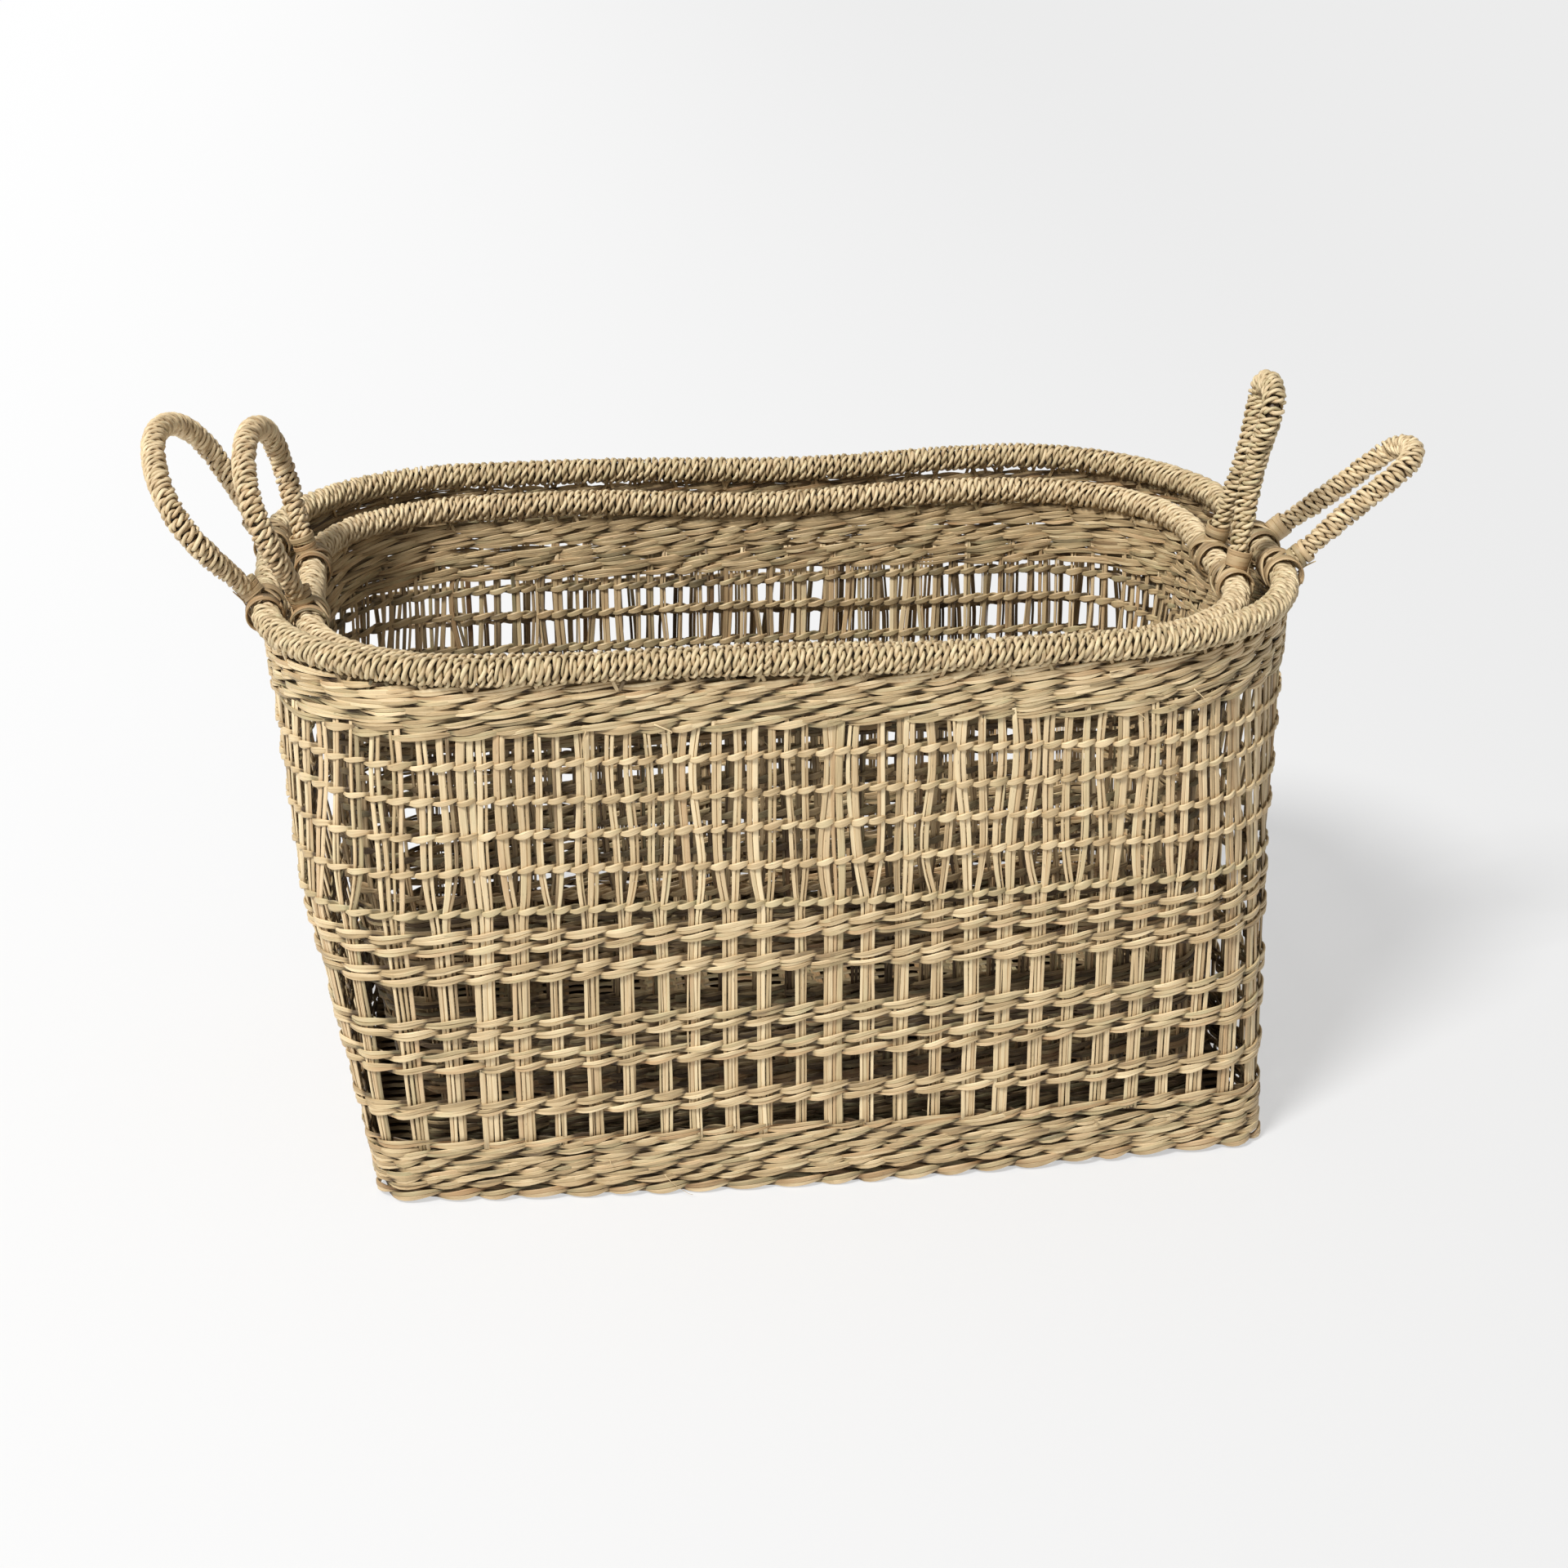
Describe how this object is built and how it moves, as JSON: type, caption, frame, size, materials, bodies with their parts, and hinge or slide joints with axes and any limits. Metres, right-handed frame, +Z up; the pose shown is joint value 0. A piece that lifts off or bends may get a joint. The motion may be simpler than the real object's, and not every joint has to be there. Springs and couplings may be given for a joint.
{
  "type": "nested seagrass storage baskets",
  "caption": "Nested pair of open-weave rectangular seagrass storage baskets with bound wire rims and swinging loop handles on the short ends.",
  "frame": {"origin": "middle of the large basket's foot, on the surface that it stands on", "axes": "+X along the length towards the right handles, +Y to the back, +Z up"},
  "size_m": [0.6948, 0.361, 0.4109],
  "materials": {
    "seagrass_stake": "dry seagrass blades, satin, finely ribbed along their length",
    "twined_strand": "flat dried seagrass strand, satin, fibrous, lightly twisted",
    "woven_band": "closely twined flat seagrass, satin, with darker gaps",
    "foot_braid": "coarse plaited seagrass, satin, slightly rusty",
    "base_mat": "plain-woven seagrass mat, matt",
    "twisted_binding": "two-ply twisted seagrass cord wound side by side, satin",
    "lashing_strand": "single flat seagrass strip, satin",
    "handle_core": "bundle of coarse seagrass, matt, hidden by the binding",
    "rim_wire": "plain drawn steel wire, hidden by the binding"
  },
  "bodies": {
    "outer_basket": {"outer_foot_braid": "foot_braid", "outer_base_mat": "base_mat", "outer_lower_band": "woven_band", "outer_paired_row_1": "twined_strand", "outer_paired_row_2": "twined_strand", "outer_paired_row_3": "twined_strand", "outer_paired_row_4": "twined_strand", "outer_paired_row_5": "twined_strand", "outer_single_row_1": "twined_strand", "outer_single_row_2": "twined_strand", "outer_single_row_3": "twined_strand", "outer_single_row_4": "twined_strand", "outer_single_row_5": "twined_strand", "outer_upper_band": "woven_band", "outer_front_stakes": "seagrass_stake", "outer_back_stakes": "seagrass_stake", "outer_left_stakes": "seagrass_stake", "outer_right_stakes": "seagrass_stake", "outer_rim_ties": "lashing_strand", "outer_rim_wire": "rim_wire", "outer_rim_binding": "twisted_binding"},
    "outer_left_handle": {"outer_left_handle_core": "handle_core", "outer_left_handle_binding": "twisted_binding", "outer_left_handle_lashing": "lashing_strand"},
    "outer_right_handle": {"outer_right_handle_core": "handle_core", "outer_right_handle_binding": "twisted_binding", "outer_right_handle_lashing": "lashing_strand"},
    "inner_basket": {"inner_foot_braid": "foot_braid", "inner_base_mat": "base_mat", "inner_lower_band": "woven_band", "inner_paired_row_1": "twined_strand", "inner_paired_row_2": "twined_strand", "inner_paired_row_3": "twined_strand", "inner_paired_row_4": "twined_strand", "inner_paired_row_5": "twined_strand", "inner_single_row_1": "twined_strand", "inner_single_row_2": "twined_strand", "inner_single_row_3": "twined_strand", "inner_single_row_4": "twined_strand", "inner_single_row_5": "twined_strand", "inner_upper_band": "woven_band", "inner_front_stakes": "seagrass_stake", "inner_back_stakes": "seagrass_stake", "inner_left_stakes": "seagrass_stake", "inner_right_stakes": "seagrass_stake", "inner_rim_ties": "lashing_strand", "inner_rim_wire": "rim_wire", "inner_rim_binding": "twisted_binding"},
    "inner_left_handle": {"inner_left_handle_core": "handle_core", "inner_left_handle_binding": "twisted_binding", "inner_left_handle_lashing": "lashing_strand"},
    "inner_right_handle": {"inner_right_handle_core": "handle_core", "inner_right_handle_binding": "twisted_binding", "inner_right_handle_lashing": "lashing_strand"}
  },
  "joints": [
    {"name": "small_basket_lift", "type": "slide", "parent": "outer_basket", "child": "inner_basket", "axis": [0, 0, 1], "range_m": [0, 0.42]},
    {"name": "outer_left_handle_swing", "type": "hinge", "parent": "outer_basket", "child": "outer_left_handle", "pos_m": [-0.288, 0, 0.306], "axis": [0, -1, 0], "range_deg": [-9, 70]},
    {"name": "outer_right_handle_swing", "type": "hinge", "parent": "outer_basket", "child": "outer_right_handle", "pos_m": [0.262, 0, 0.306], "axis": [0, 1, 0], "range_deg": [-26, 53]},
    {"name": "inner_left_handle_swing", "type": "hinge", "parent": "inner_basket", "child": "inner_left_handle", "pos_m": [-0.265, 0, 0.3], "axis": [0, -1, 0], "range_deg": [-78, 4]},
    {"name": "inner_right_handle_swing", "type": "hinge", "parent": "inner_basket", "child": "inner_right_handle", "pos_m": [0.235, 0, 0.3], "axis": [0, 1, 0], "range_deg": [-72, 10]}
  ]
}
